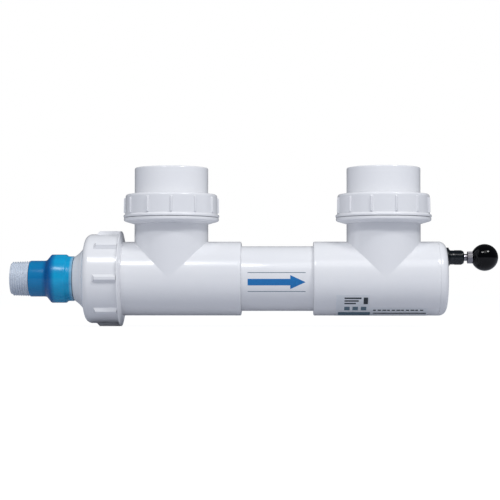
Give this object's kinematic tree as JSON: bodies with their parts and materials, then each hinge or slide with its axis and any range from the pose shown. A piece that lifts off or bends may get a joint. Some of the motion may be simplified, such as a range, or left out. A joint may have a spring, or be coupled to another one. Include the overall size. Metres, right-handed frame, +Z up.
{
  "type": "ultraviolet water clarifier",
  "caption": "Inline ultraviolet clarifier for a pond: tee-ended pipe housing with union ports, capped lamp in a quartz sleeve and a rod-pulled sleeve wiper.",
  "frame": {"origin": "on the housing's axis, midway between the two ports, which is the middle of the exposed body pipe", "axes": "+X along the housing towards the wiper's ball knob, +Z up the two ports, Y across"},
  "size_m": [0.4543, 0.0894, 0.1477],
  "materials": {
    "white_pvc": "moulded rigid PVC, satin",
    "pale_nylon": "moulded nylon, satin",
    "blue_cap_plastic": "translucent tinted acrylic, gloss",
    "quartz_glass": "clear fused quartz",
    "seal_rubber": "moulded nitrile rubber",
    "stainless_steel": "drawn stainless steel",
    "black_nylon": "black nylon, satin",
    "black_phenolic": "black phenolic, polished",
    "lamp_ceramic": "unglazed white ceramic",
    "plated_brass": "turned brass pins",
    "insulated_wire": "white fluoropolymer insulation"
  },
  "bodies": {
    "housing": {"inlet_tee": "white_pvc", "outlet_tee": "white_pvc", "body_pipe": "white_pvc", "end_cap": "white_pvc", "inlet_collar": "white_pvc", "outlet_collar": "white_pvc", "housing_collar": "white_pvc", "inlet_oring": "seal_rubber", "outlet_oring": "seal_rubber", "sleeve_support": "pale_nylon", "sleeve_bumper": "seal_rubber", "gland_washer": "black_nylon", "gland_body": "black_nylon", "gland_seal": "seal_rubber", "gland_nut": "black_nylon"},
    "inlet_connector": {"inlet_end_connector": "white_pvc"},
    "inlet_ring": {"inlet_nut": "white_pvc"},
    "outlet_connector": {"outlet_end_connector": "white_pvc"},
    "outlet_ring": {"outlet_nut": "white_pvc"},
    "head": {"housing_head": "white_pvc", "housing_oring": "seal_rubber", "quartz_sleeve": "quartz_glass", "sleeve_oring": "seal_rubber", "compression_ring": "pale_nylon"},
    "head_ring": {"housing_nut": "white_pvc"},
    "lamp": {"conduit_nipple": "pale_nylon", "nipple_retainer": "stainless_steel", "lamp_socket": "lamp_ceramic", "lamp_pins": "plated_brass", "lamp_base_near": "lamp_ceramic", "lamp_base_far": "lamp_ceramic", "lamp_tube": "quartz_glass", "lamp_return_wire": "insulated_wire"},
    "cap": {"lamp_cap": "blue_cap_plastic"},
    "wiper": {"wiper_rod": "stainless_steel", "wiper_carriage": "pale_nylon", "wiper_rings": "seal_rubber", "carriage_nuts": "stainless_steel", "jam_nut": "stainless_steel", "ball_knob": "black_phenolic"}
  },
  "joints": [
    {"name": "wiper_pull", "type": "slide", "parent": "housing", "child": "wiper", "axis": [1, 0, 0], "range_m": [0, 0.235]},
    {"name": "inlet_nut_turn", "type": "hinge", "parent": "inlet_connector", "child": "inlet_ring", "pos_m": [-0.099, 0, 0.068], "axis": [0, 0, 1], "range_deg": [0, 900]},
    {"name": "inlet_union_lift", "type": "slide", "parent": "housing", "child": "inlet_connector", "axis": [0, 0, 1], "range_m": [0, 0.01]},
    {"name": "outlet_nut_turn", "type": "hinge", "parent": "outlet_connector", "child": "outlet_ring", "pos_m": [0.099, 0, 0.068], "axis": [0, 0, 1], "range_deg": [0, 900]},
    {"name": "outlet_union_lift", "type": "slide", "parent": "housing", "child": "outlet_connector", "axis": [0, 0, 1], "range_m": [0, 0.01]},
    {"name": "head_nut_turn", "type": "hinge", "parent": "head", "child": "head_ring", "pos_m": [-0.163, 0, 0], "axis": [-1, 0, 0], "range_deg": [0, 1620]},
    {"name": "head_withdraw", "type": "slide", "parent": "housing", "child": "head", "axis": [-1, 0, 0], "range_m": [0, 0.018]},
    {"name": "lamp_cap_turn", "type": "hinge", "parent": "lamp", "child": "cap", "pos_m": [-0.205, 0, 0], "axis": [-1, 0, 0], "range_deg": [0, 1800]},
    {"name": "lamp_withdraw", "type": "slide", "parent": "head", "child": "lamp", "axis": [-1, 0, 0], "range_m": [0, 0.0125]}
  ],
  "couplings": [
    {"joint": "inlet_union_lift", "follows": "inlet_nut_turn", "m_per_rad": 0.0006366},
    {"joint": "outlet_union_lift", "follows": "outlet_nut_turn", "m_per_rad": 0.0006366},
    {"joint": "head_withdraw", "follows": "head_nut_turn", "m_per_rad": 0.0006366},
    {"joint": "lamp_withdraw", "follows": "lamp_cap_turn", "m_per_rad": 0.0003978}
  ]
}
